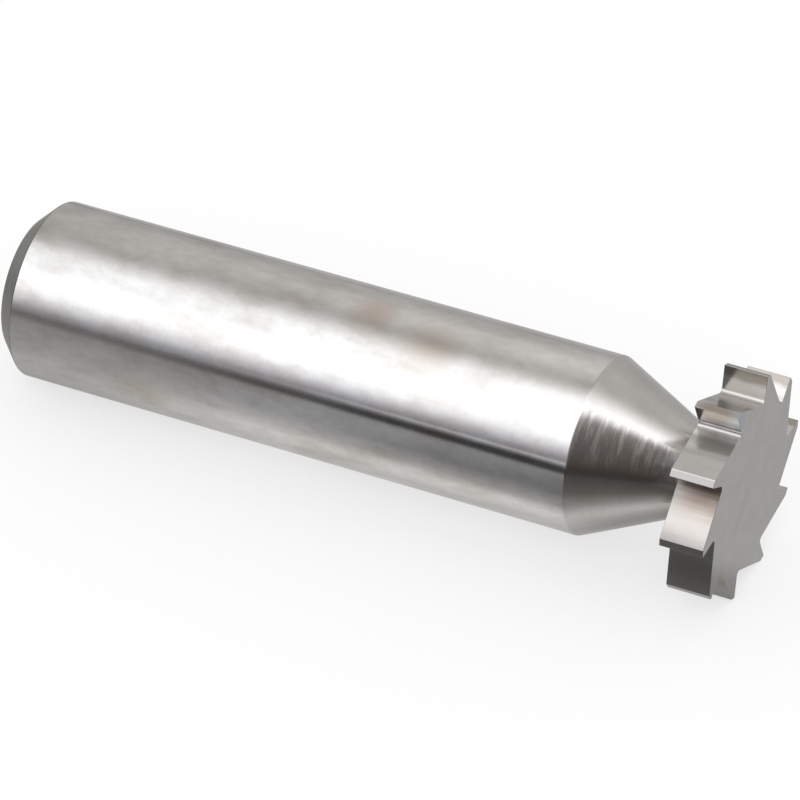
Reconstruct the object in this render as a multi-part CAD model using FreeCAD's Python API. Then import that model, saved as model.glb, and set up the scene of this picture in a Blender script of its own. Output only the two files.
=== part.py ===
import FreeCAD, Part
import math
import os

# Cutter for half-moon key seats, ground from one bar of tool steel: a plain straight shank, a
# turned cone down to a thin neck, and a narrow toothed disc.
# Lengths are millimetres and angles degrees. The tool is drawn with its axis along +X, from the
# middle of the shank's end face towards the teeth, and then laid down as it comes to rest on a
# table: +X still runs from the shank to the teeth, +Z is up, and the origin is the middle of
# the bottom of its box.

# Shank
SHANK_DIAMETER = 12.7
OVERALL_LENGTH = 54.8
END_CHAMFER = 1.42
END_CHAMFER_ANGLE = 45.0

# Cone and neck
CONE_HALF_ANGLE = 25.1
NECK_DIAMETER = 5.3
NECK_FILLET = 0.8

# Toothed disc
DISC_DIAMETER = 16.26
DISC_WIDTH = 3.175
HUB_DIAMETER = 7.0
SIDE_CLEARANCE_ANGLE = 0.5

# Teeth
TOOTH_COUNT = 10
TOOTH_DEPTH = 2.05
RAKE_ANGLE = 4.0
LAND_WIDTH = 0.55
RELIEF_ANGLE = 6.0
GULLET_RADIUS = 0.5

# Stock left on the turned disc outside the finished teeth, and how far past it the tooth
# form reaches, outwards and along the tool
GRINDING_STOCK = 0.4
FORM_OVERRUN = 0.6

ORIGIN = FreeCAD.Vector(0, 0, 0)
TOOL_AXIS = FreeCAD.Vector(1, 0, 0)
CROSS_AXIS = FreeCAD.Vector(0, 1, 0)

SHANK_RADIUS = SHANK_DIAMETER / 2
TIP_RADIUS = DISC_DIAMETER / 2
TOOTH_PITCH = 360 / TOOTH_COUNT
DISC_BACK = OVERALL_LENGTH - DISC_WIDTH


def sine(angle):
    return math.sin(math.radians(angle))


def cosine(angle):
    return math.cos(math.radians(angle))


def tangent(angle):
    return math.tan(math.radians(angle))


def rounded_corner(before, corner, after, radius):
    """Start, middle and end of the arc that rounds a corner between two straight lines."""
    to_before = (before - corner).normalize()
    to_after = (after - corner).normalize()
    half_angle = to_before.getAngle(to_after) / 2
    reach = radius / math.tan(half_angle)
    inward = (to_before + to_after).normalize()
    centre = corner + inward * (radius / math.sin(half_angle))
    return corner + to_before * reach, centre - inward * radius, corner + to_after * reach


def lines_through(points):
    return [Part.LineSegment(a, b).toShape() for a, b in zip(points, points[1:])]


def arc_through(points):
    return Part.Arc(*points).toShape()


def turned_blank():
    """The tool as it leaves the lathe: shank, cone, neck and a plain disc with dished sides."""
    neck = NECK_DIAMETER / 2
    hub = HUB_DIAMETER / 2
    rim = TIP_RADIUS + GRINDING_STOCK
    dish = tangent(SIDE_CLEARANCE_ANGLE)
    hub_face = OVERALL_LENGTH - (TIP_RADIUS - hub) * dish
    neck_end = DISC_BACK + (TIP_RADIUS - neck) * dish
    cone_start = neck_end - (SHANK_RADIUS - neck) / tangent(CONE_HALF_ANGLE)
    chamfer_drop = END_CHAMFER * tangent(END_CHAMFER_ANGLE)

    def point(along, radius):
        return FreeCAD.Vector(along, radius, 0)

    cone_top = point(cone_start, SHANK_RADIUS)
    back_edge = point(DISC_BACK, TIP_RADIUS)
    fillet = rounded_corner(cone_top, point(neck_end, neck), back_edge, NECK_FILLET)
    shank_side = [
        point(0, 0),
        point(0, SHANK_RADIUS - chamfer_drop),
        point(END_CHAMFER, SHANK_RADIUS),
        cone_top,
        fillet[0],
    ]
    disc_side = [
        fillet[2],
        back_edge,
        point(DISC_BACK, rim),
        point(OVERALL_LENGTH, rim),
        point(OVERALL_LENGTH, TIP_RADIUS),
        point(hub_face, hub),
        point(hub_face, 0),
        point(0, 0),
    ]
    edges = lines_through(shank_side) + [arc_through(fillet)] + lines_through(disc_side)
    return Part.Face(Part.Wire(edges)).revolve(ORIGIN, TOOL_AXIS, 360)


def tooth_corners():
    """Tip and heel of a tooth's land, and the root of the gullet behind it, in the YZ plane.

    The tip is on +Y. Seen from the toothed end the tool cuts anticlockwise, so the rake face
    looks that way, and the land and the straight back trail off clockwise to the root, where
    the next tooth's rake face starts.
    """
    tip = FreeCAD.Vector(0, TIP_RADIUS, 0)
    heel = tip + FreeCAD.Vector(0, -sine(RELIEF_ANGLE), -cosine(RELIEF_ANGLE)) * LAND_WIDTH
    rake_length = TOOTH_DEPTH / cosine(RAKE_ANGLE)
    rake_foot = tip + FreeCAD.Vector(0, -cosine(RAKE_ANGLE), -sine(RAKE_ANGLE)) * rake_length
    next_tooth = FreeCAD.Rotation(TOOL_AXIS, -TOOTH_PITCH)
    return tip, heel, next_tooth.multVec(rake_foot), next_tooth.multVec(tip)


def toothed_outline():
    """The closed outline of all the teeth: one tooth's edges, turned round the axis."""
    tip, heel, root, next_tip = tooth_corners()
    gullet = rounded_corner(heel, root, next_tip, GULLET_RADIUS)
    one_tooth = lines_through([tip, heel, gullet[0]])
    one_tooth.append(arc_through(gullet))
    one_tooth += lines_through([gullet[2], next_tip])
    edges = []
    for number in range(TOOTH_COUNT):
        for edge in one_tooth:
            edges.append(edge.rotated(ORIGIN, TOOL_AXIS, -number * TOOTH_PITCH))
    return Part.Wire(edges)


def ground_away():
    """Everything that grinding the teeth takes off the rim of the turned disc."""
    outside = Part.makeCylinder(
        TIP_RADIUS + GRINDING_STOCK + FORM_OVERRUN,
        DISC_WIDTH + 2 * FORM_OVERRUN,
        FreeCAD.Vector(DISC_BACK - FORM_OVERRUN, 0, 0),
        TOOL_AXIS,
    )
    teeth = Part.Face(toothed_outline()).extrude(TOOL_AXIS * (DISC_WIDTH + 4 * FORM_OVERRUN))
    teeth.translate(TOOL_AXIS * (DISC_BACK - 2 * FORM_OVERRUN))
    return outside.cut(teeth)


def finished_cutter():
    """The turned blank with its gullets and lands ground."""
    return turned_blank().cut(ground_away()).removeSplitter()


def laid_down(cutter):
    """The cutter at rest: one heel and the next tip on the table, and the shank's end rim."""
    heel, next_tip = tooth_corners()[1], tooth_corners()[3]
    below = TOOL_AXIS.cross(next_tip - heel).normalize()
    roll = FreeCAD.Rotation(below, FreeCAD.Vector(0, 0, -1))
    rise = heel.dot(below) - SHANK_RADIUS
    tilt = math.degrees(math.atan2(rise, DISC_BACK - END_CHAMFER))
    lean = FreeCAD.Rotation(CROSS_AXIS, -tilt)
    rested = cutter.copy()
    rested.Placement = FreeCAD.Placement(ORIGIN, lean.multiply(roll))
    box = rested.optimalBoundingBox(False)
    rested.translate(FreeCAD.Vector(-box.Center.x, -box.Center.y, -box.ZMin))
    return rested


def main():
    os.makedirs("parts", exist_ok=True)
    laid_down(finished_cutter()).exportStep("parts/keyseat_cutter.step")


main()
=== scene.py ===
"""Looks of a half-moon key seat cutter on a pale floor, in metres, in its model's frame."""

import logging
import math
from dataclasses import dataclass
from enum import Enum
from typing import Any, Callable, Optional, Sequence, Union

import bpy
import numpy as np
from mathutils import Matrix, Vector

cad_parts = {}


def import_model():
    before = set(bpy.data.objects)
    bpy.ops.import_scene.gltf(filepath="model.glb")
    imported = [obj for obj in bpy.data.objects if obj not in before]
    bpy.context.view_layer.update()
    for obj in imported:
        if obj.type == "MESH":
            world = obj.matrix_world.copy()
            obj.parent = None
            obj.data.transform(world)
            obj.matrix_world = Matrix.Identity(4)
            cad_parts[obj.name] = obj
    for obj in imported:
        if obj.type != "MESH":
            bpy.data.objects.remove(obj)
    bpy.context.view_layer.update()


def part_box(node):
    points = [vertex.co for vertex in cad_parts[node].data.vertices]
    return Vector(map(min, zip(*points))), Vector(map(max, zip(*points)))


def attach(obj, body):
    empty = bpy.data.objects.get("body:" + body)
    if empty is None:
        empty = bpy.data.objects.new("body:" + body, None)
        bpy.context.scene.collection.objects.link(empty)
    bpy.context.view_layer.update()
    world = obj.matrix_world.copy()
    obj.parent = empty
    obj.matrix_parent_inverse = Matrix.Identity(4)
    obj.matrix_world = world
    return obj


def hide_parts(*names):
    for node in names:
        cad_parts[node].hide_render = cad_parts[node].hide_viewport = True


MM = 0.001
DEGREES = 180 / math.pi
NOISE_MIDDLE = 0.5
WHITE = (1.0, 1.0, 1.0, 1.0)
BLACK = (0.0, 0.0, 0.0, 1.0)
BODY = "root"
NODE = "keyseat_cutter"
PLACE = "tool_place"
TOOTH_PLACE = "tooth_place"

Array = np.ndarray
Steps = tuple[int, int]
Span = tuple[float, float]
Slope = tuple[float, float]
Three = tuple[float, float, float]
Colour = Three

log = logging.getLogger("cutter")


class Surface(Enum):
    """The kinds of surface on the tool, each with a material of its own."""

    END = "end_face"
    CHAMFER = "end_chamfer"
    SHANK = "ground_shank"
    CONE = "turned_cone"
    SIDE = "disc_side"
    TOOTH = "tooth_flank"


@dataclass(frozen=True)
class Corner:
    """A corner of a flat outline, rounded, and the straight run that leaves it.

    Attributes:
        at: the sharp corner, two coordinates in millimetres.
        radius: the radius that rounds it, or 0 at the end of an open outline.
        arc_steps: how many steps the rounding arc is cut into.
        run_steps: how many steps the straight run to the next corner is cut into.
    """

    at: Array
    radius: float = 0.0
    arc_steps: int = 0
    run_steps: int = 1


def unit(vector: Array) -> Array:
    """The vector at a length of one."""
    return vector / np.linalg.norm(vector)


def left_of(direction: Array) -> Array:
    """The direction turned a quarter turn to the left, which is outwards on every outline here."""
    return np.array([-direction[1], direction[0]])


def turned(points: Array, angle: Union[float, Array]) -> Array:
    """Points of a plane turned about its origin.

    Args:
        points: an array of shape (n, 2).
        angle: the angle in radians, or an array of angles that gives one copy for each.

    Returns:
        The turned points, of shape (n, 2), or (angles, n, 2) for an array of angles.
    """
    cos, sin = np.cos(angle), np.sin(angle)
    turn = np.moveaxis(np.array([[cos, -sin], [sin, cos]]), (0, 1), (-2, -1))
    return points @ np.swapaxes(turn, -1, -2)


def inner_shares(bands: int) -> Array:
    """The even shares between 0 and 1 that part a stretch into bands."""
    return np.linspace(0, 1, bands + 1)[1:-1]


def ring_quads(rings: int, count: int) -> Array:
    """The faces between closed rings, each from two neighbours and the same two a ring on.

    Args:
        rings: how many rings there are.
        count: how many points each ring has.

    Returns:
        The numbers of each face's points, of shape (faces, 4).
    """
    place = np.arange(count)
    after = (place + 1) % count
    base = np.arange(rings - 1)[:, None] * count
    ahead = base + count
    return np.stack([base + place, ahead + place, ahead + after, base + after], -1).reshape(-1, 4)


def closed_faces(rings: int, count: int) -> list[list[int]]:
    """The faces of a closed surface: quads between its rings, and a fan of triangles at each end.

    Args:
        rings: how many rings there are.
        count: how many points each ring has.

    Returns:
        The numbers of each face's points, where the middles of the first and the last fan
        come after the points of all the rings.
    """
    place = np.arange(count)
    after = (place + 1) % count
    first_middle = rings * count
    end = first_middle - count
    start_fan = np.column_stack([np.full(count, first_middle), place, after])
    end_fan = np.column_stack([np.full(count, first_middle + 1), end + after, end + place])
    return ring_quads(rings, count).tolist() + start_fan.tolist() + end_fan.tolist()


def write_vectors(mesh: bpy.types.Mesh, name: str, values: Array) -> None:
    """Gives a mesh an attribute with one vector for each of its points."""
    made = mesh.attributes.new(name, "FLOAT_VECTOR", "POINT")
    made.data.foreach_set("vector", values.astype(np.float32).ravel())


def in_scene(name: str, data: bpy.types.ID) -> bpy.types.Object:
    """Makes an object from its data and links it to the scene.

    Args:
        name: the new object's name.
        data: its mesh, lamp or camera.

    Returns:
        The object.
    """
    made = bpy.data.objects.new(name, data)
    bpy.context.scene.collection.objects.link(made)
    return made


def corner_arc(before: Array, corner: Corner, after: Array) -> tuple[Array, Array]:
    """The arc that rounds a corner.

    The centre lies on the corner's bisector at radius over sine of half the corner's angle. The
    points are the centre plus the radius along directions that turn evenly from one tangent
    point to the other, and the normals are those directions, outwards.

    Args:
        before: the corner before this one.
        corner: the corner to round.
        after: the corner after this one.

    Returns:
        The arc's points and their outward normals.
    """
    back, on = unit(before - corner.at), unit(after - corner.at)
    half = math.acos(float(np.clip(back @ on, -1, 1))) / 2
    centre = corner.at + unit(back + on) * corner.radius / math.sin(half)
    first = unit(corner.at + back * corner.radius / math.tan(half) - centre)
    last = unit(corner.at + on * corner.radius / math.tan(half) - centre)
    sweep = math.pi - 2 * half
    share = np.linspace(0, 1, corner.arc_steps + 1)[:, None]
    spokes = (np.sin((1 - share) * sweep) * first + np.sin(share * sweep) * last) / math.sin(sweep)
    side = math.copysign(1.0, float(left_of(-back) @ first))
    return centre + corner.radius * spokes, side * spokes


def trace(corners: Sequence[Corner]) -> tuple[Array, Array, Array]:
    """An open outline through rounded corners.

    Straight runs are even steps between the ends of the arcs, and their normals are square to
    them. The first and the last corner stay sharp.

    Args:
        corners: the corners in order.

    Returns:
        The points, their outward normals, and for each point the number of the straight run
        that it lies on. An arc counts with the run before it.
    """
    arcs = [corner_arc(a.at, b, c.at) for a, b, c in zip(corners, corners[1:], corners[2:])]
    starts = [corners[0].at] + [arc[0][-1] for arc in arcs]
    ends = [arc[0][0] for arc in arcs] + [corners[-1].at]
    points, normals, runs = [], [], []
    for number, (start, end) in enumerate(zip(starts, ends)):
        share = np.linspace(0, 1, corners[number].run_steps + 1)[:-1, None]
        run = start + share * (end - start)
        points.append(run)
        normals.append(np.tile(left_of(unit(end - start)), (len(run), 1)))
        runs.append(np.full(len(run), number))
        if number < len(arcs):
            points.append(arcs[number][0][:-1])
            normals.append(arcs[number][1][:-1])
            runs.append(np.full(corners[number + 1].arc_steps, number))
    points.append(corners[-1].at[None])
    normals.append(normals[-1][-1:])
    runs.append(runs[-1][-1:])
    return np.vstack(points), np.vstack(normals), np.concatenate(runs)


@dataclass
class Ring:
    """One closed ring of points round the tool, and the surface that starts at it.

    Attributes:
        points: shape (n, 3), in the tool's own frame, in millimetres.
        normals: shape (n, 3), outwards.
        surface: the kind of surface between this ring and the next.
    """

    points: Array
    normals: Array
    surface: Surface


def give_materials(
    mesh: bpy.types.Mesh, rings: list[Ring], materials: dict[Surface, bpy.types.Material]
) -> None:
    """Gives the faces after each ring, and those of the two end fans, their material.

    Args:
        mesh: the mesh, with its faces in the order of the rings and the end fans last.
        rings: the rings.
        materials: the material of each kind of surface.
    """
    kinds = list(Surface)
    for kind in kinds:
        mesh.materials.append(materials[kind])
    stretches = [ring.surface for ring in rings[:-1]] + [Surface.END, Surface.SIDE]
    numbers = [kinds.index(surface) for surface in stretches]
    of_faces = np.repeat(numbers, len(rings[0].points)).astype(np.int32)
    mesh.polygons.foreach_set("material_index", of_faces)


@dataclass(frozen=True)
class Cutter:
    """The whole cutter as one closed surface, in millimetres and degrees.

    The surface is a function of two parameters: one runs round the tool and the other from the
    middle of the shank's end face, over the shank, cone, disc and teeth, to the middle of the
    front face. In the tool's own frame its axis is X, from the end face to the front face.
    Steps given as a pair are those of a corner's arc and of the straight run after it.
    """

    shank_diameter: float = 12.7
    overall_length: float = 54.8
    end_chamfer: float = 1.42
    cone_half_angle: float = 25.1
    neck_diameter: float = 5.3
    neck_fillet: float = 0.8
    disc_diameter: float = 16.26
    disc_width: float = 3.175
    hub_diameter: float = 7.0
    side_clearance: float = 0.5
    tooth_count: int = 10
    tooth_depth: float = 2.05
    rake: float = 4.0
    land_width: float = 0.55
    relief: float = 6.0
    gullet_radius: float = 0.3
    turned_edge: float = 0.15
    cone_edge: float = 0.3
    cutting_edge: float = 0.03
    side_edge: float = 0.022
    web_diameter: float = 11.4
    web_lag: float = 12.0
    pole_radius: float = 0.02
    end_face_steps: int = 8
    end_edge_steps: Steps = (4, 3)
    shank_steps: Steps = (4, 30)
    cone_steps: Steps = (6, 16)
    neck_steps: Steps = (12, 3)
    tip_steps: Steps = (5, 6)
    heel_steps: Steps = (3, 22)
    gullet_steps: Steps = (14, 14)
    side_edge_steps: int = 4
    side_bands: int = 4
    tooth_bands: int = 8
    web_bands: int = 4
    hub_bands: int = 5

    @property
    def disc_back(self) -> float:
        """Where the back of the disc's rim stands along the tool."""
        return self.overall_length - self.disc_width

    @property
    def pitch(self) -> float:
        """The angle from one tooth to the next, in radians."""
        return math.radians(360 / self.tooth_count)

    @property
    def dish(self) -> float:
        """How much the disc's sides fall in towards the hub, for each unit of radius."""
        return math.tan(math.radians(self.side_clearance))

    def tooth_corners(self) -> tuple[Array, Array, Array]:
        """The sharp tip and heel of a tooth and the root of the gullet behind it.

        The tip is on the first cross axis. The heel trails it by the land's width, dropped by
        the relief angle. The root is the foot of the next tooth's rake face.

        Returns:
            Tip, heel and root, two coordinates each.
        """
        relief, rake = math.radians(self.relief), math.radians(self.rake)
        tip = np.array([self.disc_diameter / 2, 0.0])
        heel = tip - self.land_width * np.array([math.sin(relief), math.cos(relief)])
        foot = tip - self.tooth_depth * np.array([1.0, math.tan(rake)])
        return tip, heel, turned(foot[None], -self.pitch)[0]

    def toothed_outline(self) -> tuple[Array, Array, Array]:
        """The outline of all the teeth, seen along the tool, going clockwise.

        One tooth is traced from its tip over the land, the back and the gullet and up the next
        rake face, and that run is turned round the axis once for each tooth. The share from tip
        to root is the length run from the nearer tip over the length of that side of the
        gullet, and the share of a rake face is how squarely the outline faces round the tool.

        Returns:
            The points, their outward normals, and for each point the share from tip to root
            and the share of a rake face.
        """
        tip, heel, root = self.tooth_corners()
        corners = [
            Corner(turned(root[None], self.pitch)[0]),
            Corner(tip, self.cutting_edge, *self.tip_steps),
            Corner(heel, self.cutting_edge, *self.heel_steps),
            Corner(root, self.gullet_radius, *self.gullet_steps),
            Corner(turned(tip[None], -self.pitch)[0], self.cutting_edge, *self.tip_steps),
            Corner(turned(heel[None], -self.pitch)[0]),
        ]
        points, normals, _ = trace(corners)
        count = sum(corner.arc_steps + corner.run_steps for corner in corners[1:4])
        one, facing = points[1 : 1 + count], normals[1 : 1 + count]
        steps = np.linalg.norm(np.diff(points[1 : 2 + count], axis=0), axis=1)
        run = np.concatenate([[0.0], np.cumsum(steps)])
        bottom = int(np.argmin(np.linalg.norm(one, axis=1)))
        behind, ahead = run[bottom], run[-1] - run[bottom]
        share = np.where(run[:-1] < behind, run[:-1] / behind, (run[-1] - run[:-1]) / ahead)
        spoke = one / np.linalg.norm(one, axis=1, keepdims=True)
        round_the_tool = facing[:, 1] * spoke[:, 0] - facing[:, 0] * spoke[:, 1]
        rake = np.clip(round_the_tool, 0.0, 1.0)
        turns = -self.pitch * np.arange(self.tooth_count)
        ring = turned(one, turns).reshape(-1, 2)
        ring_normals = turned(facing, turns).reshape(-1, 2)
        places = np.tile(np.column_stack([share, rake]), (self.tooth_count, 1))
        return ring, ring_normals, places

    def lathe_profile(self) -> tuple[Array, Array, list[Surface]]:
        """Distance along the tool and radius, from the end face's middle to the disc's web.

        Returns:
            The profile's points, its outward normals and the surface at each point.
        """
        shank, neck = self.shank_diameter / 2, self.neck_diameter / 2
        web, tip = self.web_diameter / 2, self.disc_diameter / 2
        chamfer_start = shank - self.end_chamfer
        neck_end = self.disc_back + (tip - neck) * self.dish
        cone_start = neck_end - (shank - neck) / math.tan(math.radians(self.cone_half_angle))
        corners = [
            Corner(np.array([0.0, self.pole_radius]), run_steps=self.end_face_steps),
            Corner(np.array([0.0, chamfer_start]), self.turned_edge, *self.end_edge_steps),
            Corner(np.array([self.end_chamfer, shank]), self.turned_edge, *self.shank_steps),
            Corner(np.array([cone_start, shank]), self.cone_edge, *self.cone_steps),
            Corner(np.array([neck_end, neck]), self.neck_fillet, *self.neck_steps),
            Corner(np.array([self.disc_back + (tip - web) * self.dish, web])),
        ]
        points, normals, runs = trace(corners)
        kinds = [Surface.END, Surface.CHAMFER, Surface.SHANK, Surface.CONE, Surface.SIDE]
        return points, normals, [kinds[run] for run in runs]

    def web_angles(self, count: int) -> Array:
        """Even angles round the axis for the rings that aren't toothed, going clockwise.

        They lag behind the teeth, so that the lines from a round ring to the toothed one stay
        inside the teeth, whose rake faces lean.

        Args:
            count: how many points a ring has.

        Returns:
            The angles in radians.
        """
        return -math.radians(self.web_lag) - 2 * math.pi * np.arange(count) / count

    def round_ring(self, place: Array, normal: Array, kind: Surface, count: int) -> Ring:
        """A round ring: cosine and sine of even angles times the radius, at one place along.

        Args:
            place: how far along the tool it lies, and its radius.
            normal: how much its normals point along the tool, and outwards.
            kind: the surface that starts at the ring.
            count: how many points it has.

        Returns:
            The ring.
        """
        angle = self.web_angles(count)
        spoke = np.column_stack([np.zeros(count), np.cos(angle), np.sin(angle)])
        axis = np.array([1.0, 0.0, 0.0])
        return Ring(
            place[0] * axis + place[1] * spoke, normal[0] * axis + normal[1] * spoke, kind
        )

    def side_ring(self, flat: Array, front: bool, kind: Surface = Surface.SIDE) -> Ring:
        """A ring on one of the disc's dished sides: the nearer the axis, the deeper it lies.

        Args:
            flat: the ring's points seen along the tool.
            front: whether it lies on the front side.
            kind: the surface that starts at the ring.

        Returns:
            The ring, with the side's normals.
        """
        radius = np.linalg.norm(flat, axis=1, keepdims=True)
        depth = (self.disc_diameter / 2 - np.maximum(radius, self.hub_diameter / 2)) * self.dish
        way = 1.0 if front else -1.0
        along = (self.overall_length if front else self.disc_back) - way * depth
        lean = np.where(radius > self.hub_diameter / 2, self.dish, 0.0)
        normals = np.hstack([np.full_like(radius, way), -lean * flat / radius])
        normals /= np.linalg.norm(normals, axis=1, keepdims=True)
        return Ring(np.hstack([along, flat]), normals, kind)

    def edge_rings(self, outline: Array, facing: Array, front: bool) -> list[Ring]:
        """The rounded edge between a side of the disc and the teeth.

        At each step of a quarter turn the outline is drawn in by the edge's radius times one
        minus the sine, and stands off the side by the radius times one minus the cosine.

        Args:
            outline: the toothed outline.
            facing: its outward normals.
            front: whether it is the front edge.

        Returns:
            The rings in order along the tool.
        """
        way = 1.0 if front else -1.0
        rings = []
        for quarter in np.linspace(0, math.pi / 2, self.side_edge_steps + 1):
            drawn_in = outline - facing * self.side_edge * (1 - math.sin(quarter))
            ring = self.side_ring(drawn_in, front, Surface.TOOTH)
            ring.points[:, 0] -= way * self.side_edge * (1 - math.cos(quarter))
            forward = np.full(len(outline), way * math.cos(quarter))
            ring.normals = np.column_stack([forward, math.sin(quarter) * facing])
            rings.append(ring)
        if front:
            rings = rings[::-1]
            rings[-1].surface = Surface.SIDE
        return rings

    def rings(self) -> list[Ring]:
        """All the rings of the surface in order, from the end face to the front face.

        On the disc's sides and along its teeth they are even steps between the rings that are
        given by the outlines.

        Returns:
            The rings, all with the same number of points.
        """
        outline, facing, _ = self.toothed_outline()
        count = len(outline)
        points, normals, kinds = self.lathe_profile()
        rings = [
            self.round_ring(place, normal, kind, count)
            for place, normal, kind in zip(points, normals, kinds)
        ]
        angle = self.web_angles(count)
        spoke = np.column_stack([np.cos(angle), np.sin(angle)])
        web = spoke * self.web_diameter / 2
        inner = outline - facing * self.side_edge
        shares = inner_shares(self.side_bands)
        rings += [self.side_ring(web + share * (inner - web), False) for share in shares]
        rings += self.edge_rings(outline, facing, False)
        back, front = rings[-1], self.edge_rings(outline, facing, True)
        for share in inner_shares(self.tooth_bands):
            between = back.points + share * (front[0].points - back.points)
            rings.append(Ring(between, back.normals, Surface.TOOTH))
        rings += front
        rings += [self.side_ring(web + share * (inner - web), True) for share in shares[::-1]]
        on_web = np.linspace(self.web_diameter, self.hub_diameter, self.web_bands + 1) / 2
        on_hub = np.linspace(self.hub_diameter / 2, self.pole_radius, self.hub_bands + 1)[1:]
        rings += [self.side_ring(spoke * radius, True) for radius in (*on_web, *on_hub)]
        return rings

    def resting_turn(self) -> Matrix:
        """How the tool turns from its own frame to where it rests.

        It rolls until the line from a heel to the next tip lies flat underneath, and leans up
        until that line and the rim of the shank's end lie on one level.

        Returns:
            The rotation as a 3 by 3 matrix.
        """
        tip, heel, _ = self.tooth_corners()
        next_tip = turned(tip[None], -self.pitch)[0]
        below = left_of(unit(next_tip - heel))
        roll = -math.pi / 2 - math.atan2(below[1], below[0])
        rise = float(heel @ below) - self.shank_diameter / 2
        lean = math.atan2(rise, self.disc_back - self.end_chamfer)
        return Matrix.Rotation(-lean, 3, "Y") @ Matrix.Rotation(roll, 3, "X")

    def laid_down(self, points: Array, turn: Array) -> Array:
        """Points of the tool where the model's node rests.

        They are turned, and shifted until the middle of their box seen from above, and its
        bottom, are the node's.

        Args:
            points: the points in the tool's own frame.
            turn: the rotation.

        Returns:
            The points in metres.
        """
        placed = points @ turn.T
        low, high = (np.array(corner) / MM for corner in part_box(NODE))
        shift = (low + high) / 2 - (placed.min(0) + placed.max(0)) / 2
        shift[2] = low[2] - placed[:, 2].min()
        return (placed + shift) * MM

    def build(self, name: str, materials: dict[Surface, bpy.types.Material]) -> bpy.types.Object:
        """Makes the cutter's mesh object, resting where the model's node rests.

        Args:
            name: the name of the new object.
            materials: the material of each kind of surface.

        Returns:
            The mesh object, with the tool's own coordinates and the places on a tooth as
            attributes.
        """
        rings = self.rings()
        count, total = len(rings[0].points), len(rings)
        poles = [[rings[0].points[0, 0], 0, 0], [rings[-1].points[0, 0], 0, 0]]
        own = np.vstack([ring.points for ring in rings] + [poles])
        facing = np.vstack([ring.normals for ring in rings] + [[[-1.0, 0, 0], [1.0, 0, 0]]])
        turn = np.array(self.resting_turn())
        facing = facing @ turn.T
        facing /= np.linalg.norm(facing, axis=1, keepdims=True)

        mesh = bpy.data.meshes.new(name)
        faces = closed_faces(total, count)
        mesh.from_pydata(self.laid_down(own, turn).tolist(), [], faces)
        give_materials(mesh, rings, materials)
        mesh.polygons.foreach_set("use_smooth", np.ones(len(faces), bool))
        mesh.update()
        mesh.normals_split_custom_set_from_vertices(facing.tolist())

        on_tooth = np.zeros((len(own), 3))
        on_tooth[: count * total, :2] = np.tile(self.toothed_outline()[2], (total, 1))
        write_vectors(mesh, PLACE, own)
        write_vectors(mesh, TOOTH_PLACE, on_tooth)

        cutter = in_scene(name, mesh)
        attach(cutter, BODY)
        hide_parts(NODE)
        log.info("%s: %d rings of %d points", name, total, count)
        return cutter


class Wire:
    """A socket of a shader tree that can stand in Python expressions."""

    def __init__(self, graph: "Graph", socket: bpy.types.NodeSocket) -> None:
        """Keeps the socket and the graph that new Math nodes go into."""
        self.graph = graph
        self.socket = socket

    def _math(self, operation: str, *values: Any) -> "Wire":
        """A Math node on some values."""
        return self.graph.math(operation, *values)

    def __add__(self, other: Any) -> "Wire":
        """Sum."""
        return self._math("ADD", self, other)

    __radd__ = __add__

    def __sub__(self, other: Any) -> "Wire":
        """Difference."""
        return self._math("SUBTRACT", self, other)

    def __rsub__(self, other: Any) -> "Wire":
        """Difference, the other way round."""
        return self._math("SUBTRACT", other, self)

    def __mul__(self, other: Any) -> "Wire":
        """Product."""
        return self._math("MULTIPLY", self, other)

    __rmul__ = __mul__

    def __truediv__(self, other: Any) -> "Wire":
        """Quotient."""
        return self._math("DIVIDE", self, other)

    def __neg__(self) -> "Wire":
        """Negative."""
        return self._math("MULTIPLY", self, -1.0)

    def step(self, low: Any, high: Any) -> "Wire":
        """Rises smoothly: three times the square of the way's share, less twice its cube.

        Args:
            low: where it is 0.
            high: where it is 1.

        Returns:
            The step.
        """
        share = self._math("DIVIDE", self - low, high - low)
        bounded = self._math("MINIMUM", self._math("MAXIMUM", share, 0.0), 1.0)
        return bounded * bounded * (3.0 - 2.0 * bounded)

    def within(self, rise: Span, fall: Span) -> "Wire":
        """Rises smoothly from 0 to 1 over one span, and falls back over the other."""
        return self.step(*rise) * (1.0 - self.step(*fall))

    def peak(self, middle: float, reach: float) -> "Wire":
        """Rises smoothly to 1 at the middle and falls back to 0, as far off as the reach."""
        return self.within((middle - reach, middle), (middle, middle + reach))

    def blend(self, low: Any, high: Any) -> "Wire":
        """With this as a share from 0 to 1, the value between low and high."""
        return self * (high - low) + low


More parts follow.
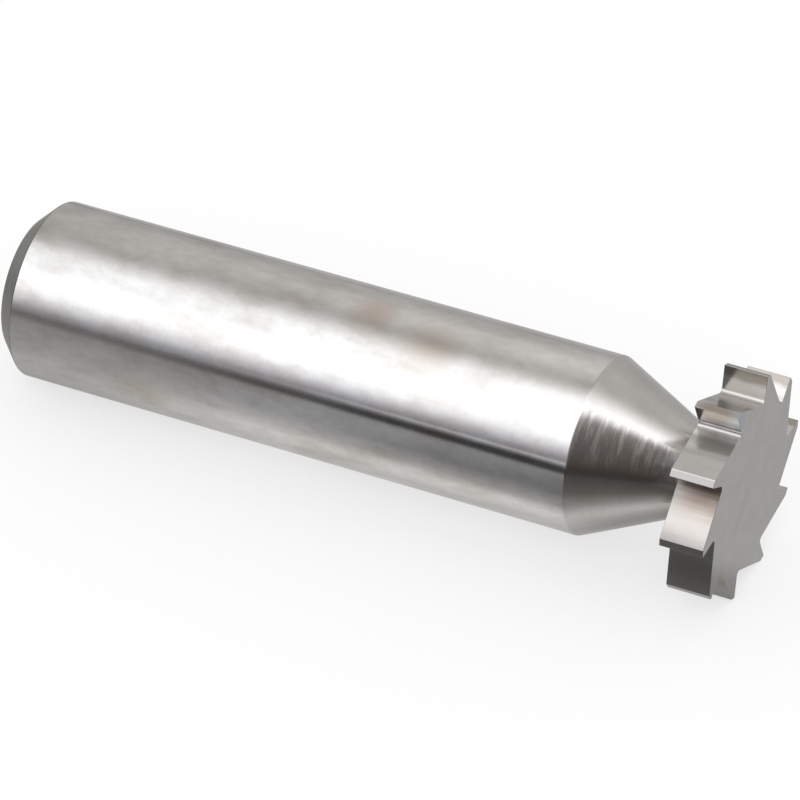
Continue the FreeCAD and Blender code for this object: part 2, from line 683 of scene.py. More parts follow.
class Graph:
    """A shader tree, and the one way that nodes are added to it."""

    def __init__(self, tree: bpy.types.NodeTree) -> None:
        """Clears the tree."""
        self.tree = tree
        tree.nodes.clear()

    def node(
        self,
        kind: str,
        settings: Optional[dict[str, Any]] = None,
        inputs: Optional[dict[Union[str, int], Any]] = None,
    ) -> bpy.types.Node:
        """Adds a node.

        Args:
            kind: the node's type.
            settings: its settings, which are set first.
            inputs: values or wires for its sockets, by name or number.

        Returns:
            The node.
        """
        made = self.tree.nodes.new(kind)
        for name, value in (settings or {}).items():
            setattr(made, name, value)
        for name, value in (inputs or {}).items():
            if isinstance(value, Wire):
                self.tree.links.new(value.socket, made.inputs[name])
            else:
                made.inputs[name].default_value = value
        return made

    def out(self, made: bpy.types.Node, output: Union[str, int] = 0) -> Wire:
        """One output of a node as a wire."""
        return Wire(self, made.outputs[output])

    def plain(self, kind: str, inputs: dict[Union[str, int], Any]) -> Wire:
        """The first output of a node that has no settings."""
        return self.out(self.node(kind, {}, inputs))

    def math(self, operation: str, *values: Any) -> Wire:
        """A Math node on some values or wires."""
        made = self.node("ShaderNodeMath", {"operation": operation}, dict(enumerate(values)))
        return self.out(made)

    def vector(self, operation: str, *values: Any, output: Union[str, int] = 0) -> Wire:
        """A Vector Math node on some vectors or wires."""
        made = self.node("ShaderNodeVectorMath", {"operation": operation}, dict(enumerate(values)))
        return self.out(made, output)

    def scaled(self, colour: Any, level: Wire) -> Wire:
        """A colour or vector times a level."""
        inputs = {0: colour, "Scale": level}
        return self.out(self.node("ShaderNodeVectorMath", {"operation": "SCALE"}, inputs))

    def parts(self, vector: Wire) -> tuple[Wire, Wire, Wire]:
        """The three parts of a vector."""
        made = self.node("ShaderNodeSeparateXYZ", {}, {0: vector})
        return self.out(made, 0), self.out(made, 1), self.out(made, 2)

    def angle(self, up: Wire, across: Wire) -> Wire:
        """The angle of a direction with these two parts, in degrees."""
        return self.math("ARCTAN2", up, across) * DEGREES

    def mix(self, share: Any, low: Any, high: Any) -> Wire:
        """A colour between two colours.

        Args:
            share: how much of the second colour there is in it, from 0 to 1.
            low: the first colour, as three numbers or a wire.
            high: the second colour, in the same way.

        Returns:
            The mixed colour.
        """
        low, high = (v if isinstance(v, Wire) else (*v, 1.0) for v in (low, high))
        made = self.node("ShaderNodeMix", {"data_type": "RGBA"}, {0: share, 6: low, 7: high})
        return self.out(made, 2)

    def attribute(self, name: str) -> Wire:
        """A vector attribute of the mesh."""
        return self.out(self.node("ShaderNodeAttribute", {"attribute_name": name}), "Vector")

    def place(self) -> Wire:
        """The place in the object's own coordinates."""
        return self.out(self.node("ShaderNodeTexCoord"), "Object")


def new_material(name: str, dress: Callable[[Graph], Wire]) -> bpy.types.Material:
    """A new material.

    Args:
        name: its name.
        dress: makes the shader of its surface in its tree.

    Returns:
        The material.
    """
    made = bpy.data.materials.new(name)
    made.use_nodes = True
    graph = Graph(made.node_tree)
    graph.node("ShaderNodeOutputMaterial", {}, {"Surface": dress(graph)})
    return made


def part_of(colour: Colour, share: Colour) -> Colour:
    """A share of a colour, in each of its parts."""
    return tuple(c * s for c, s in zip(colour, share))


@dataclass(frozen=True)
class Pattern:
    """Smooth noise about one half, laid over the tool.

    Attributes:
        stretch: features for each millimetre along the tool, and across it both ways.
        detail: how many finer layers it has.
        rough: how strong each layer is beside the one before.
        twist: how much the features are bent.
    """

    stretch: Three
    detail: float = 3.0
    rough: float = 0.6
    twist: float = 0.0

    def over(self, graph: Graph, on_a_face: bool = False) -> Wire:
        """The noise on a surface.

        Args:
            graph: the material's tree.
            on_a_face: whether it runs round a flat face, with its first way out from the axis.

        Returns:
            The noise.
        """
        place = graph.attribute(PLACE)
        if on_a_face:
            _, across, up = graph.parts(place)
            out = graph.math("SQRT", across * across + up * up)
            place = graph.plain("ShaderNodeCombineXYZ", {0: out, 1: across, 2: up})
        inputs = {
            "Vector": graph.vector("MULTIPLY", place, self.stretch),
            "Scale": 1.0,
            "Detail": self.detail,
            "Roughness": self.rough,
            "Distortion": self.twist,
        }
        return graph.plain("ShaderNodeTexNoise", inputs)


@dataclass(frozen=True)
class Spot:
    """A spot on the steel: a stain, and in one use a spot of painted shade.

    Attributes:
        middle: its middle, in the tool's own millimetres.
        reach: how far it reaches from its middle, in millimetres.
        colour: what the steel reflects straight on where the spot is strongest.
        core: the share of the reach where it starts to fade.
        strength: how much of the spot's colour there is in its middle.
    """

    middle: Three
    reach: float
    colour: Colour
    core: float
    strength: float = 1.0

    def over(self, graph: Graph, colour: Wire) -> Wire:
        """The spot over a colour.

        Args:
            graph: the material's tree.
            colour: the colour under the spot.

        Returns:
            The colour with the spot.
        """
        away = graph.vector("DISTANCE", graph.attribute(PLACE), self.middle, output="Value")
        share = (1.0 - away.step(self.core * self.reach, self.reach)) * self.strength
        return graph.mix(share, colour, self.colour)


BLUED = Spot((54.65, -7.35, 0.2), 1.2, (0.42, 0.475, 0.51), 0.3)
CORNER_BLUED = Spot((54.7, -7.3, 0.1), 1.05, (0.34, 0.365, 0.37), 0.3)
TANNED = Spot((53.1, -7.75, -0.1), 1.6, (0.32, 0.28, 0.232), 0.5, 0.9)
# Painted shade: a dark spot in the gullet by the most heated back, for the shade and dark
# reflection there
PAINTED_GULLET_SHADE = Spot((53.6, -4.75, -4.0), 1.4, (0.1, 0.08, 0.068), 0.1, 0.3)
BROWNED = Spot((54.6, 3.75, -5.55), 1.15, (0.4, 0.36, 0.295), 0.3, 0.85)
RINGS = Pattern((14.0, 0.25, 0.25))


@dataclass(frozen=True)
class Steel:
    """Bare tool steel with the marks of how it was cut.

    Attributes:
        name: the material's name.
        grain: the pattern of the marks.
        colour: what it reflects straight on.
        roughness: the mean roughness.
        uneven: how much the roughness varies with the marks.
        depth: the depth of the marks in millimetres.
        on_a_face: whether the marks run round a flat face.
        cloudy: how much the clouds shift the colour towards the dull one.
        stained: how much the stains do.
        marked: how much the fine marks do.
        speckled: how much the fine specks do.
        pebbled: how deep the fine dimples are, in millimetres.
        dull: the colour of handled and heated steel, as a share of the bright one.
        spots: the spots that lie on it: stains, and on the teeth one of painted shade.
        cloud_middle: the level of the clouds that shifts nothing.
        stain_edge: the levels of its pattern where a stain starts and is full.
        dull_edge: the shifts where the colour is still bright and is wholly dull.
    """

    name: str
    grain: Pattern
    colour: Colour = (0.565, 0.553, 0.535)
    roughness: float = 0.24
    uneven: float = 0.06
    depth: float = 0.0006
    on_a_face: bool = False
    cloudy: float = 1.0
    stained: float = 0.5
    marked: float = 0.5
    speckled: float = 0.3
    pebbled: float = 0.0003
    dull: Colour = (0.86, 0.825, 0.79)
    spots: tuple[Spot, ...] = ()
    cloud: Pattern = Pattern((0.35, 0.7, 0.7), 4.0)
    stain: Pattern = Pattern((0.13, 0.3, 0.3), 2.0, 0.55, 0.4)
    speck: Pattern = Pattern((1.1, 1.7, 1.7))
    dimple: Pattern = Pattern((1.9, 2.2, 2.2), 2.0, 0.5)
    cloud_middle: float = 0.42
    stain_edge: Span = (0.5, 0.75)
    dull_edge: Span = (-0.5, 1.0)

    def tint(self, graph: Graph, marks: Wire) -> Wire:
        """The surface's colour: bright steel, clouded and stained.

        Args:
            graph: the material's tree.
            marks: the fine marks.

        Returns:
            The colour.
        """
        shift = (self.cloud.over(graph) - self.cloud_middle) * self.cloudy
        shift = shift + self.stain.over(graph).step(*self.stain_edge) * self.stained
        shift = shift + (marks - NOISE_MIDDLE) * self.marked
        shift = shift + (self.speck.over(graph) - NOISE_MIDDLE) * self.speckled
        dulled = part_of(self.colour, self.dull)
        return graph.mix(shift.step(*self.dull_edge), self.colour, dulled)

    def roughened(self, graph: Graph, marks: Wire) -> Wire:
        """The roughness: the mean one, uneven with the marks."""
        return self.roughness + (marks - NOISE_MIDDLE) * self.uneven

    def dress(self, graph: Graph) -> Wire:
        """The surface's shader: clouds, stains and spots tint it, one spot on the teeth being
        painted shade, and fine marks roughen and groove it.

        Args:
            graph: the material's tree.

        Returns:
            The shader.
        """
        marks = self.grain.over(graph, self.on_a_face)
        height = marks * self.depth + self.dimple.over(graph) * self.pebbled
        bump = {"Strength": 1.0, "Distance": MM, "Height": height}
        colour = self.tint(graph, marks)
        for spot in self.spots:
            colour = spot.over(graph, colour)
        inputs = {
            "Base Color": colour,
            "Metallic": 1.0,
            "Roughness": self.roughened(graph, marks),
            "Normal": graph.plain("ShaderNodeBump", bump),
        }
        return graph.plain("ShaderNodeBsdfPrincipled", inputs)

    def build(self) -> bpy.types.Material:
        """Makes the material."""
        return new_material(self.name, self.dress)


@dataclass(frozen=True)
class ShankSteel(Steel):
    """Ground steel that is handled and duller towards the end that a holder grips.

    Attributes:
        handled: how much rougher it is at the gripped end.
        from_end: where that starts to fade and has gone, in millimetres along the tool.
    """

    name: str = "ground_shank_steel"
    grain: Pattern = RINGS
    colour: Colour = (0.615, 0.603, 0.583)
    roughness: float = 0.11
    cloudy: float = 1.7
    stained: float = 0.6
    marked: float = 0.3
    speckled: float = 0.9
    pebbled: float = 0.0008
    dull: Colour = (0.74, 0.71, 0.68)
    cloud: Pattern = Pattern((0.3, 0.6, 0.6), 4.0)
    spots: tuple[Spot, ...] = (
        Spot((27.0, -6.15, 1.57), 2.6, (0.47, 0.40, 0.35), 0.1, 0.8),
        Spot((31.9, -6.35, 0.0), 3.0, (0.46, 0.40, 0.35), 0.1, 0.8),
        Spot((12.0, -0.58, -6.32), 2.4, (0.46, 0.42, 0.35), 0.1, 0.5),
    )
    handled: float = 0.05
    from_end: Span = (8.0, 32.0)

    def roughened(self, graph: Graph, marks: Wire) -> Wire:
        """The roughness: uneven with the marks, and higher at the gripped end."""
        along, _, _ = graph.parts(graph.attribute(PLACE))
        return super().roughened(graph, marks) + (1.0 - along.step(*self.from_end)) * self.handled


@dataclass(frozen=True)
class ConeSteel(Steel):
    """Turned steel with painted shade on the side that mirrors dark, and painted highlight in
    streaks there.

    Attributes:
        side_shade: what is left of the brightness there, in each colour: painted shade.
        side_shade_from: where that starts and has come, in degrees round the tool.
        side_shade_to: where it fades and has gone.
        streak_highlight: how much brighter the streaks are: painted highlight.
        streak: the pattern of the streaks.
        streak_edge: the levels of their pattern where a streak starts and is full.
    """

    name: str = "turned_cone_steel"
    grain: Pattern = Pattern((3.2, 0.35, 0.35))
    colour: Colour = (0.585, 0.572, 0.553)
    roughness: float = 0.18
    uneven: float = 0.04
    depth: float = 0.0012
    cloudy: float = 1.8
    stained: float = 0.6
    # Painted shade where the cone mirrors dark, and painted highlight in its streaks there
    side_shade: Colour = (0.76, 0.785, 0.83)
    side_shade_from: Span = (-172.0, -162.0)
    side_shade_to: Span = (-150.0, -127.0)
    streak_highlight: float = 0.6
    streak: Pattern = Pattern((2.4, 0.35, 0.35), rough=0.65)
    streak_edge: Span = (0.46, 0.64)

    def tint(self, graph: Graph, marks: Wire) -> Wire:
        """The colour: clouded and stained, and on one side painted shade with painted highlight in
        streaks.

        Args:
            graph: the material's tree.
            marks: the fine marks.

        Returns:
            The colour.
        """
        plain = super().tint(graph, marks)
        _, across, up = graph.parts(graph.attribute(PLACE))
        # The side that mirrors dark: painted shade, and painted highlight in streaks
        inside = graph.angle(up, across).within(self.side_shade_from, self.side_shade_to)
        streaks = self.streak.over(graph).step(*self.streak_edge) * self.streak_highlight
        side_shade = graph.vector("MULTIPLY", plain, self.side_shade)
        return graph.scaled(graph.mix(inside, plain, side_shade), 1.0 + inside * streaks)


@dataclass(frozen=True)
class Band:
    """A soft band across a tooth, brighter or duller than the rest.

    Attributes:
        middle: where it is strongest, as a share of the way from tip to root.
        reach: how far it reaches both ways.
        change: how much brightness it adds there.
    """

    middle: float
    reach: float
    change: float

    def over(self, share: Wire) -> Wire:
        """The brightness that it adds at each share of the way."""
        return share.peak(self.middle, self.reach) * self.change


@dataclass(frozen=True)
class HeatedShadedBack:
    """The most heated tooth's back: dull behind its land, then pink, and by its gullet painted
    shade, for the dark reflection of the next tooth's rake.

    A colour here is what is left of the bright one. The steps between them are in shares of the
    way from tip to root. They wander with the patches and the fine marks, and slant a little
    along the tool. The pink changes from the shank's side to the front.
    """

    start: float = -144.0
    heel: Colour = (0.44, 0.42, 0.405)
    dull: Colour = (0.78, 0.73, 0.7)
    pink_back: Colour = (0.6, 0.565, 0.525)
    pink_front: Colour = (0.54, 0.445, 0.39)
    # Painted shade by the gullet, for the dark reflection of the next tooth's rake
    gullet_shaded: Colour = (0.2, 0.165, 0.14)
    to_dull: Span = (0.02, 0.4)
    to_pink: Span = (0.4, 0.82)
    to_gullet_shaded: Span = (0.78, 1.02)
    to_front: Span = (51.8, 53.0)
    patchy: float = 0.16
    marked: float = 0.14
    slant: float = 0.02
    slant_middle: float = 53.3

    def tint(self, graph: Graph, bright: Colour, share: Wire) -> Wire:
        """The back's colour.

        Args:
            graph: the material's tree.
            bright: the colour of the bright steel.
            share: the wandering share of the way from tip to root.

        Returns:
            The colour.
        """
        along, _, _ = graph.parts(graph.attribute(PLACE))
        share = share + (along - self.slant_middle) * self.slant
        left = (self.heel, self.dull, self.pink_back, self.pink_front, self.gullet_shaded)
        heel, dull, pink_back, pink_front, gullet_shaded = (part_of(bright, part) for part in left)
        colour = graph.mix(share.step(*self.to_dull), heel, dull)
        pink = graph.mix(along.step(*self.to_front), pink_back, pink_front)
        colour = graph.mix(share.step(*self.to_pink), colour, pink)
        # Painted shade by the gullet
        return graph.mix(share.step(*self.to_gullet_shaded), colour, gullet_shaded)


@dataclass(frozen=True)
class ToothSteel(Steel):
    """Ground teeth: matt lands, heat stains along the cutting edges, and painted light and shade
    on some backs and one rake.

    Places on a tooth are shares of the way from tip to root, and a rake is told by how squarely
    a face stands round the tool. Angles are degrees round the tool, and a tooth's is its tip's.
    A span is where a soft step starts and ends.
    """

    name: str = "ground_tooth_steel"
    grain: Pattern = Pattern((0.25, 4.5, 4.5))
    colour: Colour = (0.51, 0.498, 0.478)
    roughness: float = 0.16
    depth: float = 0.0005
    spots: tuple[Spot, ...] = (TANNED, CORNER_BLUED, PAINTED_GULLET_SHADE, BROWNED)

    # The lands: how far they reach, how soft their edges are, and how they look
    land: float = 0.11
    land_soft: float = 0.004
    land_off_rake: Span = (0.3, 0.6)
    land_colour: Colour = (0.405, 0.386, 0.364)
    land_roughness: float = 0.16

    # How much rougher a back and a rake are by the gullet
    foot: Span = (0.52, 0.8)
    rough_rake: Span = (0.3, 0.9)
    gullet_roughness: float = 0.2
    rake_foot_roughness: float = 0.08

    # The heat stains on the rakes, which wander with the patches and the fine marks
    patch: Pattern = Pattern((0.5, 0.35, 0.35), 2.0, 0.5)
    rake_edge: Span = (0.6, 0.9)
    heated: Colour = (0.52, 0.475, 0.42)
    heat: float = 0.85
    heat_edge: Span = (0.22, 0.42)
    heat_patchy: float = 0.4
    heat_marked: float = 0.25

    # Where a tooth's back starts and ends, in degrees from its tip
    back_from: Span = (-0.5, 1.5)
    back_to: Span = (34.5, 36.5)

    # The most heated back, with painted shade by its gullet; one with a painted highlight by its
    # gullet; one darker in its middle and brighter at its foot; one with painted shade
    worst: HeatedShadedBack = HeatedShadedBack()
    # Painted light: a painted highlight by this back's gullet and painted bands of light and shade
    # across it, for what it mirrors
    painted_light_back: float = -180.0
    painted_light_bands: tuple[Band, ...] = (
        Band(0.9, 0.1, 0.72),
        Band(0.66, 0.12, 0.18),
        Band(0.52, 0.07, -0.135),
    )
    # This back is darker in its middle and brighter at its foot
    dark_middle: float = 144.0
    dark_middle_band: Band = Band(0.42, 0.24, -0.35)
    bright_foot: Span = (0.68, 0.8)
    bright_foot_level: float = 0.21
    # Painted shade: this back is darker and cooler, for the shaded floor it mirrors
    grey: float = -108.0
    painted_shade_left: Colour = (0.72, 0.76, 0.81)

    # The rake with a painted highlight by its gullet, which the back beside it mirrors
    lit_rake: Span = (172.0, 176.0)
    lit_rake_band: Band = Band(0.88, 0.34, 1.0)

    def on_land(self, graph: Graph) -> Wire:
        """Where the lands are.

        Args:
            graph: the material's tree.

        Returns:
            1 on the lands and 0 elsewhere.
        """
        share, rake, _ = graph.parts(graph.attribute(TOOTH_PLACE))
        beyond = share.step(self.land - self.land_soft, self.land + self.land_soft)
        return (1.0 - beyond) * (1.0 - rake.step(*self.land_off_rake))

    def tint(self, graph: Graph, marks: Wire) -> Wire:
        """The colour: clouded steel, with matt lands, heat stains in streaks, and painted light
        and shade on some backs and one rake.

        Args:
            graph: the material's tree.
            marks: the fine marks.

        Returns:
            The colour.
        """
        share, rake, _ = graph.parts(graph.attribute(TOOTH_PLACE))
        rake = rake.step(*self.rake_edge)
        _, across, up = graph.parts(graph.attribute(PLACE))
        round_tool = graph.angle(up, across)
        patches = self.patch.over(graph) - NOISE_MIDDLE
        marks_off = marks - NOISE_MIDDLE

        def on_back(start: float) -> Wire:
            """1 on the back of the tooth whose tip is at an angle, and 0 elsewhere."""
            back = (round_tool - start).within(self.back_from, self.back_to)
            return back * (1.0 - rake)

        # Painted highlight and shade in bands across one back
        painted_light_back = sum(band.over(share) for band in self.painted_light_bands)
        dark_middle = self.dark_middle_band.over(share) + share.step(*self.bright_foot) * self.bright_foot_level
        # Painted highlight on the foot of one rake
        clear = rake * round_tool.step(*self.lit_rake) * self.lit_rake_band.over(share)
        level = 1.0 + on_back(self.painted_light_back) * painted_light_back + on_back(self.dark_middle) * dark_middle + clear
        plain = graph.scaled(super().tint(graph, marks), level)
        # Painted shade on one back
        painted_back_shade = graph.vector("MULTIPLY", plain, self.painted_shade_left)
        stained = graph.mix(on_back(self.grey), plain, painted_back_shade)
        wavy = share + patches * self.heat_patchy + marks_off * self.heat_marked
        by_edge = (1.0 - wavy.step(*self.heat_edge)) * self.heat
        stained = graph.mix(rake * by_edge, stained, part_of(self.colour, self.heated))
        # The most heated back, with painted shade by its gullet
        worst = self.worst
        wavy = share + patches * worst.patchy + marks_off * worst.marked
        gullet_shaded = worst.tint(graph, self.colour, wavy)
        stained = graph.mix(on_back(worst.start), stained, gullet_shaded)
        return graph.mix(self.on_land(graph), stained, self.land_colour)

    def roughened(self, graph: Graph, marks: Wire) -> Wire:
        """The roughness: uneven with the marks, and higher on the lands and in the gullets.

        Args:
            graph: the material's tree.
            marks: the fine marks.

        Returns:
            The roughness.
        """
        share, rake, _ = graph.parts(graph.attribute(TOOTH_PLACE))
        rough = super().roughened(graph, marks) + self.on_land(graph) * self.land_roughness
        more = rake.step(*self.rough_rake).blend(self.gullet_roughness, self.rake_foot_roughness)
        return rough + share.step(*self.foot) * more


FINISHES: dict[Surface, Steel] = {
    Surface.END: Steel(
        "faced_steel", Pattern((5.0, 0.3, 0.3)), uneven=0.08, depth=0.003, on_a_face=True
    ),
    # Painted shade: the chamfer's colour is darkened for the darker surroundings it mirrors
    Surface.CHAMFER: Steel(
        "turned_chamfer_steel_shaded", RINGS, (0.325, 0.322, 0.302), 0.26, uneven=0.08, depth=0.001
    ),
    Surface.SHANK: ShankSteel(),
    Surface.CONE: ConeSteel(),
    Surface.SIDE: Steel(
        "ground_side_steel", Pattern((3.0, 1.0, 1.0)), on_a_face=True, spots=(BLUED,)
    ),
    Surface.TOOTH: ToothSteel(),
}


def glowing(name: str, glow: Callable[[Graph], Wire]) -> bpy.types.Material:
    """A material that only glows.

    Args:
        name: its name.
        glow: makes the colour times the brightness in its tree.

    Returns:
        The material.
    """

    def dress(graph: Graph) -> Wire:
        """The shader: black, with the glow as its emission."""
        inputs = {
            "Base Color": BLACK,
            "Roughness": 1.0,
            "Specular IOR Level": 0.0,
            "Emission Color": glow(graph),
            "Emission Strength": 1.0,
        }
        return graph.plain("ShaderNodeBsdfPrincipled", inputs)

    made = new_material(name, dress)
    made.cycles.emission_sampling = "NONE"
    return made


def show_only_in_reflections(thing: bpy.types.Object) -> None:
    """Hides a stage object from the camera, from diffuse light and from shadows."""
    for ray in ("camera", "diffuse", "transmission", "volume_scatter", "shadow"):
        setattr(thing, "visible_" + ray, False)


@dataclass(frozen=True)
class Tent:
    """The white light tent that the steel mirrors, as a large dome with soft panels.

    Directions are told by a rise about the tool in degrees, 0 level towards the front, 90
    straight up and 180 level behind, and by their lean along the tool, from -1 to 1. In front
    and above is a bright panel, behind and above grey cloth, and low in front a dark opening.
    A slope is a value at the lean of the shank's mirror image, and its change for a lean of one
    more. A span is where a soft step starts and ends, and a peak is a middle and a reach.
    """

    radius: float = 3.0
    steps: int = 96
    bands: int = 48
    pole_gap: float = 0.01
    shank_lean: float = -0.35

    # The bright panel
    panel: float = 2.25
    panel_low: Slope = (25.9, 76.0)
    panel_low_soft: Slope = (20.7, -5.0)
    panel_top: Slope = (89.8, 12.0)
    panel_top_soft: float = 21.0

    # The dark opening, the sill in it and the floor's edge under it
    opening: Slope = (0.244, -0.225)
    opening_rise: Slope = (0.98, -0.85)
    opening_over: float = 60.0
    opening_least: float = 0.02
    sill: float = 0.5
    sill_peak: Span = (4.6, 2.6)
    sill_lean: Span = (-0.385, -0.355)
    floor_edge: Span = (-1.5, 1.8)
    floor_edge_depth: float = 0.78

    # The cloth behind and the wall far to the left
    cloth: float = 0.57
    cloth_glow: float = 0.13
    cloth_glow_peak: Span = (137.0, 46.0)
    far_wall: float = 0.3
    far_wall_lean: Span = (-0.8, -0.72)

    # What the shank mirrors near the disc
    disc_lean: Span = (-0.42, -0.34)
    disc_lean_end: Span = (-0.3, 0.0)
    panel_top_near: float = 3.5
    cloth_glow_near: float = 0.28

    # What it mirrors at its end
    panel_top_end: float = 4.0
    panel_dim: float = 0.57
    panel_dim_rise: Span = (50.0, 66.0)

    # What lies beyond that, which the chamfer mirrors
    beyond_lean: Span = (-0.53, -0.46)
    beyond_rise: float = 60.0
    beyond_dim: float = 0.85

    # What the cone and the teeth mirror
    cone_lean: Span = (0.0, 0.3)
    cone_soft: float = 6.5
    cone_panel: float = 0.12
    cone_low: float = -12.0
    cone_top: float = -2.2
    cone_top_soft: float = 8.0

    # The tones of the light
    cool: Colour = (0.968, 1.0, 1.045)
    warm: Colour = (1.01, 1.0, 0.99)
    dark_cool: Colour = (1.0, 1.0, 1.08)
    dark_brown: Colour = (1.12, 1.0, 0.93)

    def build(self) -> None:
        """Makes the dome, which only mirror-like surfaces see.

        Its points are a sphere's: cosine and sine of a turn times the cosine of a height, and
        the height's sine, all times the radius.
        """
        turn = np.linspace(0, 2 * math.pi, self.steps, endpoint=False)
        top = math.pi / 2 - self.pole_gap
        height = np.linspace(-top, top, self.bands)[:, None]
        flat, level = np.cos(height), np.sin(height)
        grid = [flat * np.cos(turn), flat * np.sin(turn), level * np.ones(self.steps)]
        points = np.stack(grid, -1).reshape(-1, 3) * self.radius
        quads = ring_quads(self.bands, self.steps)[:, ::-1]
        mesh = bpy.data.meshes.new("light_tent")
        mesh.from_pydata(points.tolist(), [], quads.tolist())
        mesh.materials.append(glowing("tent_cloth", self.glow))
        tent = in_scene("light_tent", mesh)
        show_only_in_reflections(tent)

    def glow(self, graph: Graph) -> Wire:
        """What the dome gives off in each direction: soft steps from opening to panel to cloth.

        Args:
            graph: the tree of the dome's material.

        Returns:
            The colour times the brightness.
        """
        lean, along, up = graph.parts(graph.vector("NORMALIZE", graph.place()))
        rise = graph.math("WRAP", graph.angle(up, -along), 270.0, -90.0)
        more = lean - self.shank_lean

        def at_lean(slope: Slope) -> Wire:
            """A value that changes with the lean."""
            return slope[0] + more * slope[1]

        near_disc = lean.within(self.disc_lean, self.disc_lean_end)
        by_end = 1.0 - lean.step(*self.disc_lean)
        beyond = 1.0 - lean.step(*self.beyond_lean)
        on_cone = lean.step(*self.cone_lean)

        opening = at_lean(self.opening) + at_lean(self.opening_rise) * rise / self.opening_over
        opening = graph.math("MAXIMUM", opening, self.opening_least)
        by_sill = near_disc * lean.step(*self.sill_lean)
        opening = opening + rise.peak(*self.sill_peak) * by_sill * self.sill
        under_edge = near_disc * (1.0 - rise.step(*self.floor_edge))
        opening = opening * (1.0 - under_edge * self.floor_edge_depth)
        opening = opening * (1.0 - beyond * self.beyond_dim)

        panel = self.panel * (1.0 + on_cone * self.cone_panel)
        panel = panel - by_end * rise.step(*self.panel_dim_rise) * self.panel_dim
        low = at_lean(self.panel_low) + on_cone * self.cone_low + beyond * self.beyond_rise
        low_soft = at_lean(self.panel_low_soft) - on_cone * self.cone_soft
        lit = rise.step(low - low_soft, low + low_soft)

        glow = self.cloth_glow + near_disc * self.cloth_glow_near
        cloth = self.cloth + rise.peak(*self.cloth_glow_peak) * glow
        top = at_lean(self.panel_top) + near_disc * self.panel_top_near
        top = top + by_end * self.panel_top_end + on_cone * self.cone_top
        top_soft = self.panel_top_soft + on_cone * self.cone_top_soft
        behind = rise.step(top - top_soft, top + top_soft)

        level = behind.blend(lit.blend(opening, panel), cloth)
        level = lean.step(*self.far_wall_lean).blend(self.far_wall, level)
        dark = graph.mix(on_cone, self.dark_cool, self.dark_brown)
        tone = graph.mix(behind, graph.mix(lit, dark, self.cool), self.warm)
        return graph.scaled(tone, level)


def sheet(name: str, size: float, level: float, material: bpy.types.Material) -> bpy.types.Object:
    """A flat square of the stage.

    Args:
        name: its name.
        size: the length of its sides, in metres.
        level: its height.
        material: its material.

    Returns:
        The object.
    """
    half = size / 2
    around = ((-half, -half), (half, -half), (half, half), (-half, half))
    mesh = bpy.data.meshes.new(name)
    mesh.from_pydata([(x, y, level) for x, y in around], [], [(0, 1, 2, 3)])
    mesh.materials.append(material)
    made = in_scene(name, mesh)
    return made


@dataclass(frozen=True)
class Levels:
    """Three levels of light from left to right, with a soft step from each to the next."""

    left: float
    middle: float
    right: float
    first: Span
    second: Span

    def over(self, along: Wire) -> Wire:
        """The level at each place along the tool."""
        left = along.step(*self.first).blend(self.left, self.middle)
        return along.step(*self.second).blend(left, self.right)


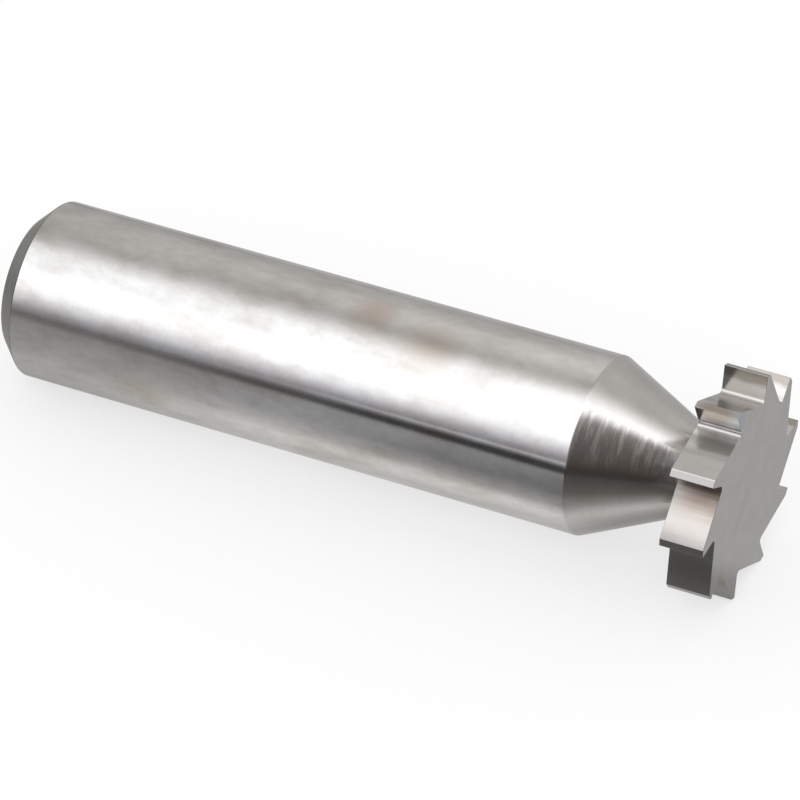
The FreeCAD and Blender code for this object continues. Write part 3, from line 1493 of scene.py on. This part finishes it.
@dataclass(frozen=True)
class Table:
    """What the tool lies on: a pale floor, and that floor as the steel mirrors it.

    The mirrored floor is bright by the tool, dimmer in front of it and to its right, and an
    even grey behind it. Its places are in millimetres, along the tool from left to right and
    ahead of it. A span is where a soft step starts and ends, and a peak is a middle and a reach.
    """

    size: float = 6.0
    gap: float = 0.00002
    pale: Colour = (0.96, 0.96, 0.96)
    rough: float = 0.9
    white_share: float = 0.65

    # The light of the mirrored floor in strips, from beside the tool to far ahead of it
    beside: Levels = Levels(0.67, 0.957, 0.66, (-25.0, -6.0), (12.0, 20.0))
    middle: Levels = Levels(0.475, 0.285, 0.158, (-12.0, 8.0), (8.0, 24.0))
    outer: Levels = Levels(0.395, 0.42, 0.11, (-30.0, -8.0), (-8.0, 28.0))
    far: Levels = Levels(0.22, 0.06, 0.055, (-26.0, 8.0), (20.0, 80.0))
    far_slant: float = 0.37
    outer_from: Span = (15.0, 34.0)
    far_from: Span = (44.0, 84.0)

    # Where the middle strip starts and is full: first away from the disc, then by it
    by_disc: Span = (14.0, 20.0)
    middle_start: Span = (1.0, 3.0)
    middle_full: Span = (18.0, 18.5)

    # The shade underneath: how deep it is under the shank and under the disc
    shade: Span = (0.35, 0.42)
    shade_right: Span = (20.0, 26.0)
    shade_ahead: Span = (2.5, 7.0)

    # A brighter strip ahead, the even light behind and a dimmer place at the left
    strip: float = 0.33
    strip_along: Span = (-25.0, 10.0)
    strip_peak: Span = (7.9, 3.2)
    behind: float = 0.55
    behind_from: Span = (-1.0, 2.0)
    left_dim: float = 0.36
    left_peak: Span = (-54.0, 15.0)
    left_ahead: Span = (4.0, 12.0)

    # The tones of the light
    tone_near: Colour = (1.0, 1.0, 1.0)
    tone_away: Colour = (0.985, 1.0, 1.065)
    tone_by_disc: Colour = (1.06, 1.0, 0.96)
    away_ahead: Span = (8.0, 18.0)
    away_along: Span = (-30.0, -5.0)
    tone_right: Span = (14.0, 22.0)

    def build(self) -> None:
        """Makes the floor and its mirrored twin."""
        paper = new_material("floor_paper", self.paper)
        paper.cycles.emission_sampling = "NONE"
        floor = sheet("floor", self.size, -self.gap, paper)
        floor.visible_glossy = False
        twin = sheet("floor_mirrored", self.size, -2 * self.gap, glowing("floor_light", self.glow))
        show_only_in_reflections(twin)

    def paper(self, graph: Graph) -> Wire:
        """Matt pale paper that takes the tool's shadow, mostly white to the camera.

        Args:
            graph: the paper's tree.

        Returns:
            The shader.
        """
        pale = {"Base Color": (*self.pale, 1.0), "Roughness": self.rough}
        paper = graph.plain("ShaderNodeBsdfPrincipled", pale)
        white = graph.plain("ShaderNodeEmission", {"Color": WHITE, "Strength": 1.0})
        seen = graph.out(graph.node("ShaderNodeLightPath"), "Is Camera Ray")
        return graph.plain("ShaderNodeMixShader", {0: seen * self.white_share, 1: paper, 2: white})

    def glow(self, graph: Graph) -> Wire:
        """What the mirrored floor gives off at each place.

        Args:
            graph: the tree of the mirrored floor's material.

        Returns:
            The colour times the brightness.
        """
        along, back, _ = graph.parts(graph.place())
        along, back = along / MM, back / MM
        ahead = -back

        shade = along.step(*self.shade_right).blend(*self.shade)
        light = self.beside.over(along) * ahead.step(*self.shade_ahead).blend(1.0 - shade, 1.0)
        by_disc = along.step(*self.by_disc)
        start, full = by_disc.blend(*self.middle_start), by_disc.blend(*self.middle_full)
        light = ahead.step(start, full).blend(light, self.middle.over(along))
        strip = along.step(*self.strip_along) * ahead.peak(*self.strip_peak)
        light = light * (1.0 + strip * self.strip)
        light = ahead.step(*self.outer_from).blend(light, self.outer.over(along))
        far = self.far.over(along + ahead * self.far_slant)
        light = ahead.step(*self.far_from).blend(light, far)
        light = back.step(*self.behind_from).blend(light, self.behind)
        left = along.peak(*self.left_peak) * (1.0 - ahead.step(*self.left_ahead))
        light = light * (1.0 - left * self.left_dim)

        away = ahead.step(*self.away_ahead) * along.step(*self.away_along)
        tone = graph.mix(along.step(*self.tone_right), self.tone_away, self.tone_by_disc)
        return graph.scaled(graph.mix(away, self.tone_near, tone), light)


@dataclass(frozen=True)
class Lights:
    """The studio's light: an even white world, and a large soft lamp on the camera's side."""

    world: float = 0.94
    lamp_power: float = 1.6
    lamp_size: float = 0.5
    lamp_place: Three = (0.2, -0.6, 0.65)

    def build(self) -> None:
        """Makes the world, white to the camera and to mirrors, and the lamp."""
        world = bpy.data.worlds.new("studio")
        bpy.context.scene.world = world
        world.use_nodes = True
        world.cycles.sampling_method = "NONE"
        graph = Graph(world.node_tree)
        path = graph.node("ShaderNodeLightPath")
        seen = graph.out(path, "Is Camera Ray")
        for ray in ("Is Glossy Ray", "Is Transmission Ray"):
            seen = graph.math("MAXIMUM", seen, graph.out(path, ray))
        inputs = {"Color": WHITE, "Strength": seen.blend(self.world, 1.0)}
        glow = graph.plain("ShaderNodeBackground", inputs)
        graph.node("ShaderNodeOutputWorld", {}, {"Surface": glow})
        lamp = bpy.data.lights.new("soft_lamp", "AREA")
        lamp.size = self.lamp_size
        lamp.energy = self.lamp_power
        holder = in_scene("soft_lamp", lamp)
        holder.location = self.lamp_place
        holder.rotation_euler = Vector(self.lamp_place).to_track_quat("Z", "Y").to_euler()
        holder.visible_glossy = False


@dataclass(frozen=True)
class View:
    """The photograph's camera: where it looks from, in degrees and millimetres."""

    azimuth: float = 24.908
    elevation: float = 37.542
    roll: float = -1.499
    distance: float = 426.83
    aim: Three = (1.513, -0.812, 6.783)
    lens: float = 279.67
    sensor: float = 36.0
    nearest: float = 10.0

    def build(self) -> None:
        """Makes the camera and gives it to the scene."""
        turn, rise, roll = (math.radians(a) for a in (self.azimuth, self.elevation, self.roll))
        level = Vector((math.cos(turn), math.sin(turn), 0.0))
        ahead = Vector((math.sin(turn), -math.cos(turn), 0.0))
        back = ahead * math.cos(rise) + Vector((0.0, 0.0, math.sin(rise)))
        upright = back.cross(level)
        up = upright * math.cos(roll) + level * math.sin(roll)
        right = level * math.cos(roll) - upright * math.sin(roll)
        data = bpy.data.cameras.new("camera")
        data.sensor_width = self.sensor
        data.lens = self.lens
        data.clip_start = self.nearest * MM
        camera = in_scene("camera", data)
        where = (Vector(self.aim) + back * self.distance) * MM
        axes = Matrix((right, up, back)).transposed().to_4x4()
        camera.matrix_world = Matrix.Translation(where) @ axes
        bpy.context.scene.camera = camera


def main() -> None:
    """Builds the cutter, the stage, the light and the camera."""
    logging.basicConfig(level=logging.INFO, format="%(message)s")
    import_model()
    bpy.context.scene.view_settings.view_transform = "Standard"
    materials = {kind: steel.build() for kind, steel in FINISHES.items()}
    cutter = Cutter().build("ground_cutter", materials)
    log.info("piece %s made", cutter.name)
    Table().build()
    Tent().build()
    Lights().build()
    View().build()


if __name__ == "__main__":
    main()
